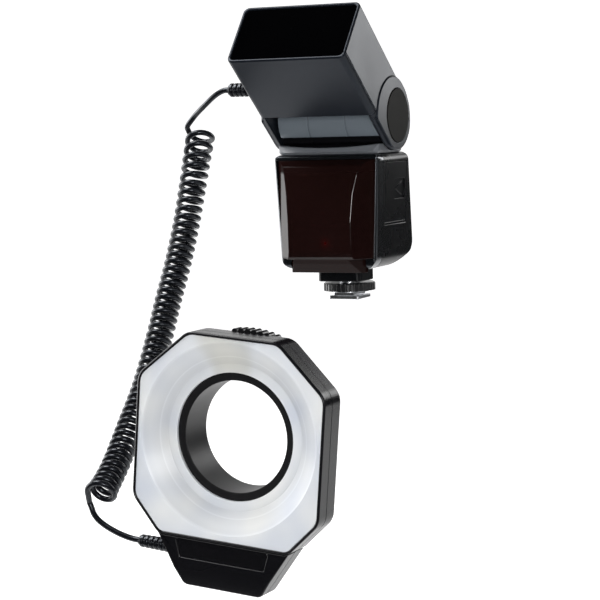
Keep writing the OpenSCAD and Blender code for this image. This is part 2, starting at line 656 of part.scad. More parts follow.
// The socket block under the octagon, with its lower front edge cut back
module socket_form(d, y0, y1) intersection() {
    along_y(y0, y1) socket_shape(d);
    along_x(3 * ring_half_w) polygon([[0.6 + d, 0], [0.6 + d, block_bottom + block_chamfer.y],
        [0.6 + block_chamfer.x + d, block_bottom - past], [2 * ring_depth, block_bottom - past],
        [2 * ring_depth, 0]]);
}
back_t = 2;
post_in = 4.6;
corner_posts = [[ring_half_w - post_in, ring_half_h - top_cut_h - 2.9],
                [ring_half_w - post_in, -ring_low_h + low_cut_h + 2]];
socket_post = [14, block_bottom + 8.8];
ring_posts = [for (p = concat(corner_posts, [socket_post]), side = [1, -1]) [side * p.x, p.y]];
module ring_front_shell() color("#17181a") at_ring() difference() {
    union() {
        difference() {
            union() {
                along_y(0, ring_split) octagon_shape(0);
                socket_form(0, 0, ring_split);
            }
            along_y(-past, ring_split + past) octagon_shape(ring_wall);
            socket_form(2, 0, ring_split + past);
        }
        intersection() {
            for (p = ring_posts) translate([p.x, 0, p.y])
                rod_y(post_r, 0.6 + plate_t, ring_depth - back_t);
            union() {
                along_y(0, ring_split) octagon_shape(ring_wall / 2);
                along_y(0, ring_depth) octagon_shape(ring_wall + 0.1);
                socket_form(1, 0, ring_split);
                socket_form(2.1, 0, ring_depth);
            }
        }
    }
    plate_recess(0, past);
    for (p = ring_posts) translate([p.x, 0, p.y]) rod_y(screw_r + fit / 2, 5, ring_depth);
    ring_gland_hole();
}
plate_view = [[-27, -55.4], [26, -55.4], [24, -65], [-24, -65]];
plate_deep = 1;
module plate_recess(d, out) along_y(0.6 - out, 0.6 + plate_deep)
    polygon(rounded(inset(plate_view, d), same(0.8, 4)));
module ring_plate() color("#0d0d0f") at_ring() intersection() {
    plate_recess(fit, 0);
    block([-ring_half_w, 0.9, block_bottom], [ring_half_w, ring_depth, 0]);
}
gland_start = 2.5 - block_top_half;
ring_gland_l = 17.4;
ring_gland_r = 3.7;
module ring_gland_hole() translate([0, ring_split, gland_z])
    rod_x(ring_gland_r - 1 + fit / 2, -2 * ring_half_w, -20);
module ring_gland() color("#161719") at_ring() translate([gland_start, ring_split, gland_z])
    mirror([1, 0, 0]) gland(ring_gland_r, ring_gland_l, 6, 3.4, 7);
module ring_rear_shell() color("#17181a") at_ring() difference() {
    union() {
        difference() {
            union() {
                along_y(ring_split, ring_depth) octagon_shape(0);
                socket_form(0, ring_split, ring_depth);
            }
            along_y(ring_split - past, ring_depth - back_t) octagon_shape(ring_wall);
            socket_form(2, ring_split - past, ring_depth - back_t);
        }
        rod_y(sleeve_r, dish_depth, sleeve_end, $fn = 96);
        for (p = coil_posts) translate([p.x, 0, p.y])
            rod_y(2.5, trigger_y + board_t, ring_depth - back_t / 2);
    }
    rod_y(bore_r, 0, sleeve_end + past, $fn = 96);
    for (p = ring_posts) translate([p.x, 0, p.y]) {
        rod_y(screw_r + fit / 2, ring_split, ring_depth + past);
        rod_y(head_r + fit, ring_depth - head_deep, ring_depth + past);
    }
    ring_gland_hole();
}
module ring_diffuser() color([0.93, 0.94, 0.95, 0.8]) at_ring() difference() {
    union() {
        along_y(0.6, 0.6 + plate_t) octagon_shape(ring_wall + fit);
        about_lens() rotate_extrude($fn = 96)
            polygon([[bore_r, dish_depth], [bore_r, dish_depth - plate_t],
                     [dish_foot_r, dish_depth - plate_t], [dish_r, 0.6], [dish_r + 0.5, 0.6],
                     [dish_r + 0.5, 0.6 + plate_t], [dish_r, 0.6 + plate_t], [dish_foot_r, dish_depth]]);
    }
    about_lens() rotate_extrude($fn = 96)
        polygon([[0, -past], [dish_r, -past], [dish_r, 0.6], [dish_foot_r, dish_depth - plate_t],
                 [bore_r, dish_depth - plate_t], [bore_r, dish_depth + past], [0, dish_depth + past]]);
}
tray_in = sleeve_r + slack;
tray_back = ring_depth - back_t;
tray_t = 0.6;
module ring_reflector() color("#d9dbde") at_ring() about_lens() rotate_extrude($fn = 96)
    polygon([[tray_in, tray_back], [tray_in, dish_depth + 0.4], [tray_in + tray_t, dish_depth + 0.4],
             [tray_in + tray_t, tray_back - tray_t], [reflector_r - tray_t, tray_back - tray_t],
             [reflector_r - tray_t, 5], [reflector_r, 5], [reflector_r, tray_back]]);
holder_half_angle = 7;
module tube_arc(from) at_ring() about_lens() translate([0, 0, tube_depth]) rotate([0, 0, from])
    rotate_extrude(angle = 180 - 2 * holder_half_angle) translate([tube_ring_r, 0])
        circle(r = tube_r, $fn = 24);
module flash_tube_right() color([0.85, 0.9, 0.95, 0.6]) tube_arc(-90 + holder_half_angle);
module flash_tube_left() color([0.85, 0.9, 0.95, 0.6]) tube_arc(90 + holder_half_angle);
module tube_holders() color("#e8e4da") at_ring() about_lens() for (a = [90, 270])
    rotate([0, 0, a - holder_half_angle]) rotate_extrude(angle = 2 * holder_half_angle)
        translate([tube_ring_r - 2.7, tube_depth - 2.8])
            square([5.4, tray_back - tray_t - tube_depth + 2.8]);
trigger_y = 12.4;
trigger_half = 19;
trigger_low = -67;
trigger_top = -57;
coil_posts = [[-14, -60], [14, -60]];
module trigger_board() color("#2f5d3a") at_ring()
    block([-trigger_half, trigger_y, trigger_low], [trigger_half, trigger_y + board_t, trigger_top]);
module trigger_coil() color("#7a4a22") at_ring() translate([6, 0, -62]) rod_y(4, 5, trigger_y);
module ring_screws() color("#8d9096") at_ring() for (p = ring_posts) translate([p.x, 0, p.y]) {
    rod_y(head_r, ring_depth - head_deep, ring_depth);
    rod_y(screw_r, 6, ring_depth - head_deep + 0.1);
}
retaining_r = 39;
module retaining_ring() color("#5d6167") at_ring() difference() {
    rod_y(retaining_r, sleeve_end, sleeve_end + 1, $fn = 96);
    rod_y(bore_r, sleeve_end - past, sleeve_end + 2, $fn = 96);
}

// Lock ring on the sleeve, with a ribbed finger grip above and below
lock_y0 = ring_depth + slack;
lock_y1 = sleeve_end - slack;
grip_at = [3.3, 183.3];
grip_ribs = 7;
rib_pitch = 4;
rib_r = 1.7;
rib_half = 1.45;
module lock_ring() color("#1b1c1f") at_ring() difference() {
    union() {
        rod_y(lock_r, lock_y0, lock_y1, $fn = 96);
        for (a = grip_at, i = [0:grip_ribs - 1])
            rotate([0, a + (i - (grip_ribs - 1) / 2) * rib_pitch, 0]) translate([0, 0, grip_r - rib_r]) {
                rod_y(rib_r, lock_y0, lock_y1, $fn = 24);
                block([-rib_half, lock_y0, lock_r - grip_r], [rib_half, lock_y1, 0]);
            }
    }
    rod_y(sleeve_r + 0.1, lock_y0 - past, lock_y1 + past, $fn = 96);
}
adapter_flange_y = sleeve_end + 1.2;
adapter_flange_r = 38;
adapter_flange_t = 2;
thread_l = 4;
module adapter_ring() color("#0e0e10") at_ring() difference() {
    union() {
        rod_y(adapter_r, dish_depth, adapter_flange_y + past, $fn = 96);
        rod_y(adapter_flange_r, adapter_flange_y, adapter_flange_y + adapter_flange_t, $fn = 96);
        rod_y(thread_r, adapter_flange_y, adapter_flange_y + adapter_flange_t + thread_l, $fn = 96);
    }
    rod_y(adapter_bore_r, 0, 3 * ring_depth, $fn = 96);
}

// Cord: the coil's middle line and the two leads pass through these points
coil_route = [[-80.9, -22.5, 97.1], [-78.8, -32, 83.5], [-78.6, -38, 69.5], [-78.7, -48, 45.7],
              [-79.6, -58, 23.8], [-81.1, -68, 3.9], [-81.8, -78, -15.3], [-82.5, -93.7, -40.2],
              [-83.1, -110.5, -59.8], [-82.1, -130.2, -78.4], [-81, -148.5, -91]];
coil_lead_in = [[-83.4, -26.8, 105.3], [-85.7, -26.2, 103.2], [-87.4, -25.6, 101.6],
                [-88.5, -24.9, 100.2], [-88.7, -23.9, 98.8]];
rings_per_curl = 8;
curl_sides = 6;
lead_sides = 8;
coil_last = len(coil_route) - 1;
coil_marks = [for (i = 0, run = 0; i <= coil_last;
                   run = run + norm(coil_route[min(i + 1, coil_last)] - coil_route[i]), i = i + 1)
              [run, i]];
coil_run = coil_marks[coil_last][0];
top_spread = 0.8;
spread_reach = 0.08;
function spread_at(q) = q + top_spread * spread_reach * (1 - exp(-q / spread_reach));
function through(a, b, c, d, t) = b + (c - a) * t / 2 + (2 * a - 5 * b + 4 * c - d) * t * t / 2
                                  + (3 * b - a - 3 * c + d) * t * t * t / 2;
before_route = 2 * coil_route[0] - coil_route[1];
after_route = 2 * coil_route[coil_last] - coil_route[coil_last - 1];
function coil_middle(q) =
    let (u = lookup(coil_run * spread_at(q) / spread_at(1), coil_marks), i = min(floor(u), coil_last - 1))
    through(i > 0 ? coil_route[i - 1] : before_route, coil_route[i], coil_route[i + 1],
            i + 2 <= coil_last ? coil_route[i + 2] : after_route, u - i);
function coil_way(q) = unit(coil_middle(min(q + 0.01, 1)) - coil_middle(max(q - 0.01, 0)));
function curl_out(q) =
    let (way = coil_way(q), side = unit([1, 0, 0] - way.x * way), front = cross(way, side),
         turn = 180 + 360 * curls * q)
    side * cos(turn) + front * sin(turn);
function curl_radius(q) = curl_r + 0.9 * exp(-q / 0.1) + 1.4 * exp((q - 1) / 0.02);
function curl_point(q) = coil_middle(q) + curl_radius(q) * curl_out(q);
function curl_along(q) = let (step = 0.02 / curls)
    unit(curl_point(min(q + step, 1)) - curl_point(max(q - step, 0)));
curl_count = curls * rings_per_curl;
curl_line = [for (i = [0:curl_count]) curl_point(i / curl_count)];
coil_out = curl_along(1);
coil_end = curl_line[curl_count] + coil_out * cord_d;
coil_start = coil_lead_in[0];
coil_in = unit(coil_lead_in[1] - coil_start);
coil_points = concat(coil_lead_in, curl_line, [coil_end]);
curl_gap = min([for (i = [0:curl_count - rings_per_curl], j = [rings_per_curl - 2:rings_per_curl + 2])
                if (i + j <= curl_count) norm(curl_line[i + j] - curl_line[i])]) - cord_d;
echo(least_gap_between_curls = curl_gap);

head_gland_end = let (c = cos(head_tilt), s = sin(head_tilt))
    [-head_w / 2 - head_gland_l, pivot_y + gland_at.x * c + gland_at.y * s,
     pivot_z - gland_at.x * s + gland_at.y * c];
upper_route = concat([head_gland_end, head_gland_end - [3.5, 0, 0]],
    [[-62.5, -34.8, 118.8], [-66.6, -34.2, 116.4], [-70.8, -32.8, 113.6], [-75.4, -30.8, 110.7],
     [-79.6, -28.4, 108.2]],
    [coil_start - coil_in * 1.6, coil_start]);
ring_gland_end = let (c = cos(ring_roll), s = sin(ring_roll), x = gland_start - ring_gland_l)
    [x * c + gland_z * s, ring_y + ring_split, ring_z - x * s + gland_z * c];
ring_gland_way = [-cos(ring_roll), 0, sin(ring_roll)];
lower_route = concat([coil_end, coil_end + coil_out * 2.5],
    [[-88.4, -146, -99], [-87, -146.4, -102], [-84.3, -147, -104.8], [-80.5, -147.5, -107.2],
     [-76, -148, -109.3], [-70.7, -148.2, -111.4], [-65.8, -148, -113]],
    [ring_gland_end + ring_gland_way * 3.5, ring_gland_end]);

// A tube of triangles round a line of points, each ring square to the line
function line_ways(points) = let (n = len(points) - 1)
    [for (i = [0:n]) unit(i == 0 ? points[1] - points[0] : i == n ? points[n] - points[n - 1]
                          : unit(points[i + 1] - points[i]) + unit(points[i] - points[i - 1]))];
function square_to(v, way) = unit(v - (v * way) * way);
function line_normals(ways, first) = let (n = len(ways) - 1)
    [for (i = 0, v = square_to(first, ways[0]); i <= n; i = i + 1, v = square_to(v, ways[min(i, n)])) v];
module tube(points, ways, normals, r, sides) {
    last = len(points) - 1;
    rim = [for (i = [0:last]) let (u = square_to(normals[i], ways[i]), v = cross(ways[i], u))
           for (k = [0:sides - 1]) points[i] + r * (u * cos(360 * k / sides) + v * sin(360 * k / sides))];
    skin = [for (i = [0:last - 1], k = [0:sides - 1])
            let (a = i * sides + k, b = i * sides + (k + 1) % sides, c = a + sides, d = b + sides)
            each [[a, c, b], [b, c, d]]];
    far = last * sides;
    ends = [for (k = [1:sides - 2]) each [[0, k, k + 1], [far, far + k + 1, far + k]]];
    polyhedron(rim, concat(skin, ends));
}
module lead(route) let (ways = line_ways(route))
    tube(route, ways, line_normals(ways, [0, 0.3, 1]), cord_d / 2, lead_sides);
module cord_upper_lead() color("#141517") lead(upper_route);
module cord_lower_lead() color("#141517") lead(lower_route);
module cord_coil() color("#141517") let (ways = line_ways(coil_points))
    tube(coil_points, ways, line_normals(ways, [0, 0, 1]), cord_d / 2, curl_sides);

body_case();
front_frame();
front_window();
battery_cradle();
battery_contacts();
main_board();
main_capacitor();
assist_lamp();
rear_panel();
ready_lamp();
case_screws();
foot_block();
shoe_foot();
shoe_contacts();
clamp_plate();
lock_wheel();
battery_door();
door_pin();
door_contact();
power_switch();
test_button();
neck_plinth();
neck_barrel();
tilt_shaft();
tilt_washers();
head_upper_shell();
head_lower_shell();
head_front_panel();
head_board();
pivot_cap_left();
pivot_cap_right();
head_gland();
ring_front_shell();
ring_rear_shell();
ring_diffuser();
ring_reflector();
flash_tube_left();
flash_tube_right();
tube_holders();
trigger_board();
trigger_coil();
ring_plate();
ring_gland();
ring_screws();
retaining_ring();
lock_ring();
adapter_ring();
cord_upper_lead();
cord_coil();
cord_lower_lead();
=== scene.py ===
"""Looks of the macro ring flash: softened mouldings, curly cord, finishes, small details and studio."""

import json
import math

import bmesh
import bpy
from mathutils import Matrix, Vector

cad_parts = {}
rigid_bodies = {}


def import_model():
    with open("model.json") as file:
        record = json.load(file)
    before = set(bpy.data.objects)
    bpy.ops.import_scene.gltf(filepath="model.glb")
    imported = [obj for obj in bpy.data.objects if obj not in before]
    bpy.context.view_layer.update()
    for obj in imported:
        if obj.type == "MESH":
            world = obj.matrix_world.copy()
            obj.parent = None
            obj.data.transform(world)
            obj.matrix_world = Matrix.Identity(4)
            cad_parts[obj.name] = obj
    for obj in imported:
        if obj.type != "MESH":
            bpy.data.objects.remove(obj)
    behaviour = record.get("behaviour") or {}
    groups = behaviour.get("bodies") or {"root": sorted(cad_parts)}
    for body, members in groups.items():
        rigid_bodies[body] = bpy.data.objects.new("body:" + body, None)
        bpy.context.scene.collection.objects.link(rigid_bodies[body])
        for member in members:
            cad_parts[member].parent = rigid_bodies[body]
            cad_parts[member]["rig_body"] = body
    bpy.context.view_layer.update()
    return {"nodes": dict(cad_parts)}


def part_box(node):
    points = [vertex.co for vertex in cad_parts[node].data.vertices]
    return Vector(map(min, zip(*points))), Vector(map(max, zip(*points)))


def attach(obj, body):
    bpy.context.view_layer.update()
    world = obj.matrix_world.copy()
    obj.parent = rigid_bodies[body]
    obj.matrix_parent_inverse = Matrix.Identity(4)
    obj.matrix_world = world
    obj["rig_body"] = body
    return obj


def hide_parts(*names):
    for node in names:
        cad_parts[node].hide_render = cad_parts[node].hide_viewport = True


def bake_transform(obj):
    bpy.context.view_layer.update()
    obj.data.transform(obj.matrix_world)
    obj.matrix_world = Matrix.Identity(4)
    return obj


MM = 0.001
UP = Vector((0, 0, 1))
DOWN = Vector((0, 0, -1))
BACK = Vector((0, 1, 0))
FRONT = Vector((0, -1, 0))

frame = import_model()
nodes = frame["nodes"]

# Viewpoint of the picture
CAMERA_AT = Vector((481.33, -1063.94, 111.42)) * MM
CAMERA_YAW = math.radians(25.75)
CAMERA_DOWN = math.radians(5.47)
CAMERA_ROLL = math.radians(-1.79)
CAMERA_LENS = 122.716
CAMERA_SENSOR = 36

# Cord: its thickness, and the points in millimetres that its leads and the coil's middle line pass through
CORD_D = 3.2 * MM
UPPER_LEAD = [(-55.1, -34.75, 120.36), (-58.6, -34.75, 120.36), (-62.5, -34.8, 118.8),
              (-66.6, -34.2, 116.4), (-70.8, -32.8, 113.6), (-75.4, -30.8, 110.7),
              (-79.6, -28.4, 108.2), (-82.2, -27.1, 106.4)]
COIL_LEAD_IN = [(-83.4, -26.8, 105.3), (-85.7, -26.2, 103.2), (-87.4, -25.6, 101.6),
                (-88.5, -24.9, 100.2), (-88.7, -23.9, 98.8)]
COIL_ROUTE = [(-80.9, -22.5, 97.1), (-78.8, -32, 83.5), (-78.6, -38, 69.5), (-78.7, -48, 45.7),
              (-79.6, -58, 23.8), (-81.1, -68, 3.9), (-81.8, -78, -15.3), (-82.5, -93.7, -40.2),
              (-83.1, -110.5, -59.8), (-82.1, -130.2, -78.4), (-81, -148.5, -91)]
LOWER_LEAD = [(-88.4, -146, -99), (-87, -146.4, -102), (-84.3, -147, -104.8), (-80.5, -147.5, -107.2),
              (-76, -148, -109.3), (-70.7, -148.2, -111.4), (-65.8, -148, -113),
              (-61.73, -147.7, -113.94), (-58.25, -147.7, -114.27)]

# Coil: its turns, their radius in millimetres and the points in a turn. The turns lie further apart near
# the top, and grow wider by a flare at each end. A reach is a share of the coil's length.
CURLS = 50
CURL_R = 6.2
CURL_STEPS = 24
CURL_START = 180
TOP_SPREAD = 0.8
SPREAD_REACH = 0.08
TOP_FLARE = 0.9
TOP_REACH = 0.1
END_FLARE = 1.4
END_REACH = 0.02
WAY_REACH = 0.01

# Cord's tube: steps between two points of a lead, the straight run in millimetres that leaves the coil, and the
# roundness of its section
LEAD_STEPS = 4
LEAD_IN_STEPS = 3
LEAD_OUT = 2.5
TUBE_ROUNDNESS = 4
TUBE_SHARP = math.radians(40)

# Rounded edges: the reach that merges points, the bend up to which faces are one, the bend from which an
# edge is sharp, the steps of a rounding, and the slope up to which a face beside a rim is its wall
MERGE_REACH = 0.002 * MM
FLAT_BEND = math.radians(0.4)
SHARP_BEND = math.radians(32)
ROUND_STEPS = 2
WALL_SLOPE = 0.5

# Nodes whose many small facets stay as they are when their edges are rounded
FACETED = {"front_window"}

# Nodes with a rounder rim: the way that the rim faces, and the width in millimetres that it is rounded over
HEAD_TILT = math.radians(39.3)
HEAD_WAY = Vector((0, -math.cos(HEAD_TILT), math.sin(HEAD_TILT)))
RIM_REACH = 0.1 * MM
RIMS = {"head_upper_shell": (HEAD_WAY, 0.75), "head_lower_shell": (HEAD_WAY, 0.75),
        "ring_front_shell": (FRONT, 0.75), "front_frame": (FRONT, 1.2)}

# Dark crosses on the screw heads: painted shade that stands for their recesses
SCREW_HEAD = 8 * MM
CROSS_HALF = 0.28 * MM
CROSS_ARM = 0.75 * MM

# Print on the rear panel: radii of the rings, and each bar's shift from the switch and its size in millimetres
PRINT_PROUD = 0.06 * MM
PRINT_LINE = 0.35 * MM
PRINT_SIDES = 48
RINGED = {"test_button": 5.2 * MM, "ready_lamp": 3.2 * MM}
SWITCH_MARKS = {"switch_mark_long": ((-3.4, 4.2), (2.4, 0.7)), "switch_mark_short": ((3.4, 4.2), (0.9, 0.7))}
PANEL_SLOPE = 0.8


# Meshes

def new_piece(name, mesh):
    piece = bpy.data.objects.new(name, mesh)
    bpy.context.scene.collection.objects.link(piece)
    return piece


def finish_piece(piece, body, finish):
    piece.data.materials.clear()
    piece.data.materials.append(finish)
    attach(piece, body)


def shade_by_angle(mesh, angle):
    mesh.shade_smooth()
    mesh.set_sharp_from_angle(angle=angle)


def weigh_edges(bm, way, share):
    """Mark the sharp edges for rounding: the rim's outer edges in full, and the others by a share."""
    front = max(vert.co.dot(way) for vert in bm.verts) - RIM_REACH
    middle = sum((vert.co for vert in bm.verts), Vector()) / len(bm.verts)
    weight = bm.edges.layers.float.new("bevel_weight_edge")
    for line in bm.edges:
        if line.calc_face_angle(0) > SHARP_BEND:
            on_rim = all(vert.co.dot(way) > front for vert in line.verts)
            outward = line.verts[0].co - middle
            walls = [face for face in line.link_faces if abs(face.normal.dot(way)) < WALL_SLOPE]
            outer = on_rim and any(face.normal.dot(outward) > 0 for face in walls)
            line[weight] = 1.0 if outer else share


def soften(node, finish, width):
    """A moulded copy of a CAD node, with its sharp edges rounded, that stands for the node."""
    mesh = nodes[node].data.copy()
    mesh.name = node + "_moulded"
    if "custom_normal" in mesh.attributes:
        mesh.attributes.remove(mesh.attributes["custom_normal"])
    bm = bmesh.new()
    bm.from_mesh(mesh)
    bmesh.ops.remove_doubles(bm, verts=bm.verts, dist=MERGE_REACH)
    if node not in FACETED:
        bmesh.ops.dissolve_limit(bm, angle_limit=FLAT_BEND, verts=bm.verts, edges=bm.edges)
        bmesh.ops.connect_verts_concave(bm, faces=bm.faces)
    way, rim_width = RIMS.get(node, (FRONT, width))
    weigh_edges(bm, way, width / rim_width)
    bm.to_mesh(mesh)
    bm.free()
    shade_by_angle(mesh, SHARP_BEND)
    piece = new_piece(node + "_moulded", mesh)
    edge = piece.modifiers.new("rounded_edges", "BEVEL")
    edge.width = rim_width * MM
    edge.segments = ROUND_STEPS
    edge.limit_method = "WEIGHT"
    edge.use_clamp_overlap = False
    level = piece.modifiers.new("flat_faces", "WEIGHTED_NORMAL")
    level.keep_sharp = True
    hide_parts(node)
    finish_piece(piece, nodes[node]["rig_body"], finish)


# Cord

def through(a, b, c, d, t):
    """A smooth curve from b to c, with a before and d after them."""
    return (b + (c - a) * (t / 2) + (2 * a - 5 * b + 4 * c - d) * (t * t / 2)
            + (3 * b - a - 3 * c + d) * (t ** 3 / 2))


def smooth_line(points, steps):
    line = [2 * points[0] - points[1], *points, 2 * points[-1] - points[-2]]
    made = [through(*line[i:i + 4], k / steps) for i in range(len(points) - 1) for k in range(steps)]
    return made + [points[-1]]


def coil_line():
    """The helix of the curly cord round its middle line, in millimetres, and the way that it ends."""
    route = [Vector(p) for p in COIL_ROUTE]
    runs = [0.0]
    for a, b in zip(route, route[1:]):
        runs.append(runs[-1] + (b - a).length)
    last = len(route) - 1
    line = [2 * route[0] - route[1], *route, 2 * route[last] - route[last - 1]]

    def spread(q):
        return q + TOP_SPREAD * SPREAD_REACH * (1 - math.exp(-q / SPREAD_REACH))

    def middle(q):
        run = runs[last] * spread(q) / spread(1)
        i = max(k for k in range(last) if runs[k] <= run)
        return through(*line[i:i + 4], (run - runs[i]) / (runs[i + 1] - runs[i]))

    def curl(q):
        way = (middle(min(q + WAY_REACH, 1)) - middle(max(q - WAY_REACH, 0))).normalized()
        side = (Vector((1, 0, 0)) - way.x * way).normalized()
        turn = math.radians(CURL_START + 360 * CURLS * q)
        radius = CURL_R + TOP_FLARE * math.exp(-q / TOP_REACH)
        radius += END_FLARE * math.exp((q - 1) / END_REACH)
        return middle(q) + radius * (side * math.cos(turn) + way.cross(side) * math.sin(turn))

    count = CURLS * CURL_STEPS
    curls = [curl(i / count) for i in range(count + 1)]
    return curls, (curls[-1] - curls[-2]).normalized()


def cord_tube(name, points, finish):
    """A round tube along the points, made by a bevelled curve and kept as a mesh."""
    curve = bpy.data.curves.new(name + "_line", "CURVE")
    curve.dimensions = "3D"
    curve.bevel_depth = CORD_D / 2
    curve.bevel_resolution = TUBE_ROUNDNESS
    curve.use_fill_caps = True
    spline = curve.splines.new("POLY")
    spline.points.add(len(points) - 1)
    for point, place in zip(spline.points, points):
        point.co = (*place, 1)
    line = new_piece(name + "_line", curve)
    mesh = bpy.data.meshes.new_from_object(line.evaluated_get(bpy.context.evaluated_depsgraph_get()))
    bpy.data.objects.remove(line)
    shade_by_angle(mesh, TUBE_SHARP)
    mesh.materials.clear()
    mesh.materials.append(finish)
    return new_piece(name, mesh)


def make_cord(finish):
    """The cord, in three lengths that follow each other from the head to the ring light."""
    curls, way_out = coil_line()
    coil_end = curls[-1] + way_out * CORD_D / MM
    upper_lead, lead_in, lower_lead = (
        [Vector(p) for p in lead] for lead in (UPPER_LEAD, COIL_LEAD_IN, LOWER_LEAD))
    upper = smooth_line([*upper_lead, lead_in[0]], LEAD_STEPS)
    coil = smooth_line([*lead_in, curls[0]], LEAD_IN_STEPS) + curls[1:] + [coil_end]
    lower = smooth_line([coil_end, coil_end + way_out * LEAD_OUT, *lower_lead], LEAD_STEPS)
    routes = {"cord_upper_lead": upper, "cord_coil": coil, "cord_lower_lead": lower}
    for node, route in routes.items():
        points = [p * MM for p in route]
        piece = cord_tube(node + "_tube", points, finish)
        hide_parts(node)
        if node == "cord_upper_lead":
            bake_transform(piece)
        elif node == "cord_coil":
            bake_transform(piece)
        else:
            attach(piece, "ring_light")


# Finishes: helpers

def set_values(node, values):
    """Set the values of a shader node's sockets."""
    for label, value in values.items():
        node.inputs[label].default_value = value
    return node


def add(tree, kind, values=None, **settings):
    """A new shader node with its settings, and then the values of its sockets."""
    node = tree.nodes.new(kind)
    for key, value in settings.items():
        setattr(node, key, value)
    return set_values(node, values or {})


def add_range(tree, low, high, **settings):
    """A shader node that maps low to 0 and high to 1."""
    return add(tree, "ShaderNodeMapRange", {"From Min": low, "From Max": high}, **settings)


def set_stops(ramp, stops):
    """Give a colour ramp its stops, each a place and a colour."""
    elements = ramp.color_ramp.elements
    while len(elements) < len(stops):
        elements.new(0.5)
    for element, (at, colour) in zip(elements, stops):
        element.position = at
        element.color = (*colour, 1)


def socket_group(name, inputs, outputs):
    """An empty shader node group with the named sockets."""
    group = bpy.data.node_groups.new(name, "ShaderNodeTree")
    for label, kind, value in inputs:
        socket = group.interface.new_socket(label, in_out="INPUT", socket_type=kind)
        socket.default_value = value
    for label, kind in outputs:
        group.interface.new_socket(label, in_out="OUTPUT", socket_type=kind)
    return group, group.nodes.new("NodeGroupInput"), group.nodes.new("NodeGroupOutput")


# Finishes: effects that several finishes share

FINE_GRAIN = 2500.0
GRAIN_DETAIL = 3.0
GRAIN_DEPTH = 0.05 * MM
SMUDGE_SCALE = 38.0
SMUDGE_DETAIL = 4.0
DRIFT_SCALE = 22.0
DRIFT_DETAIL = 2.0

# Middle of the ring light's front plane, on the axis that the ring is round about
RING_FRONT = Vector((0, -156.7, -57)) * MM


def moulded_skin_group():
    """Fine moulded grain, with broad smudges that change the roughness."""
    group, given, made = socket_group(
        "moulded_skin",
        [("Grain Size", "NodeSocketFloat", FINE_GRAIN),
         ("Roughness", "NodeSocketFloat", 0.4),
         ("Smudge", "NodeSocketFloat", 0.08)],
        [("Roughness", "NodeSocketFloat"), ("Height", "NodeSocketFloat")])
    place = add(group, "ShaderNodeTexCoord")
    grain = add(group, "ShaderNodeTexNoise", {"Detail": GRAIN_DETAIL})
    broad = add(group, "ShaderNodeTexNoise", {"Scale": SMUDGE_SCALE, "Detail": SMUDGE_DETAIL})
    centred = add(group, "ShaderNodeMath", {1: 0.5}, operation="SUBTRACT")
    scaled = add(group, "ShaderNodeMath", operation="MULTIPLY")
    total = add(group, "ShaderNodeMath", operation="ADD", use_clamp=True)
    link = group.links.new
    link(place.outputs["Object"], grain.inputs["Vector"])
    link(given.outputs["Grain Size"], grain.inputs["Scale"])
    link(place.outputs["Object"], broad.inputs["Vector"])
    link(broad.outputs["Fac"], centred.inputs[0])
    link(centred.outputs[0], scaled.inputs[0])
    link(given.outputs["Smudge"], scaled.inputs[1])
    link(scaled.outputs[0], total.inputs[0])
    link(given.outputs["Roughness"], total.inputs[1])
    link(total.outputs[0], made.inputs["Roughness"])
    link(grain.outputs["Fac"], made.inputs["Height"])
    return group


def shade_drift_group():
    """Slow drift of a colour between two shades."""
    group, given, made = socket_group(
        "shade_drift",
        [("Shade", "NodeSocketColor", (0.02, 0.02, 0.02, 1)),
         ("Other Shade", "NodeSocketColor", (0.03, 0.03, 0.03, 1)),
         ("Patch Size", "NodeSocketFloat", DRIFT_SCALE)],
        [("Color", "NodeSocketColor")])
    place = add(group, "ShaderNodeTexCoord")
    noise = add(group, "ShaderNodeTexNoise", {"Detail": DRIFT_DETAIL})
    mix = add(group, "ShaderNodeMix", data_type="RGBA")
    link = group.links.new
    link(place.outputs["Object"], noise.inputs["Vector"])
    link(given.outputs["Patch Size"], noise.inputs["Scale"])
    link(noise.outputs["Fac"], mix.inputs["Factor"])
    link(given.outputs["Shade"], mix.inputs["A"])
    link(given.outputs["Other Shade"], mix.inputs["B"])
    link(mix.outputs["Result"], made.inputs["Color"])
    return group


def about_the_ring_group():
    """Distance from the ring light's axis in millimetres, and the turn about it."""
    group, _, made = socket_group(
        "about_the_ring", [], [("Radius", "NodeSocketFloat"), ("Turn", "NodeSocketFloat")])
    place = add(group, "ShaderNodeTexCoord")
    centre = add(group, "ShaderNodeMapping", {"Location": -RING_FRONT / MM, "Scale": (1 / MM,) * 3})
    axes = add(group, "ShaderNodeSeparateXYZ")
    flat = add(group, "ShaderNodeCombineXYZ")
    radius = add(group, "ShaderNodeVectorMath", operation="LENGTH")
    turn = add(group, "ShaderNodeMath", operation="ARCTAN2")
    link = group.links.new
    link(place.outputs["Object"], centre.inputs["Vector"])
    link(centre.outputs["Vector"], axes.inputs["Vector"])
    link(axes.outputs["X"], flat.inputs["X"])
    link(axes.outputs["Z"], flat.inputs["Z"])
    link(flat.outputs["Vector"], radius.inputs[0])
    link(axes.outputs["Z"], turn.inputs[0])
    link(axes.outputs["X"], turn.inputs[1])
    link(radius.outputs["Value"], made.inputs["Radius"])
    link(turn.outputs["Value"], made.inputs["Turn"])
    return group


MOULDED_SKIN = moulded_skin_group()
SHADE_DRIFT = shade_drift_group()
ABOUT_THE_RING = about_the_ring_group()


def place_group(tree, group, **values):
    node = add(tree, "ShaderNodeGroup", node_tree=group)
    return set_values(node, {label.replace("_", " "): value for label, value in values.items()})


def place_drift(tree, shades):
    """A colour that drifts between a pair of shades."""
    shade, other = shades
    return place_group(tree, SHADE_DRIFT, Shade=(*shade, 1), Other_Shade=(*other, 1))


def blank_finish(name):
    finish = bpy.data.materials.new(name)
    finish.use_nodes = True
    return finish, finish.node_tree, finish.node_tree.nodes["Principled BSDF"]


# Finishes: mouldings and metals

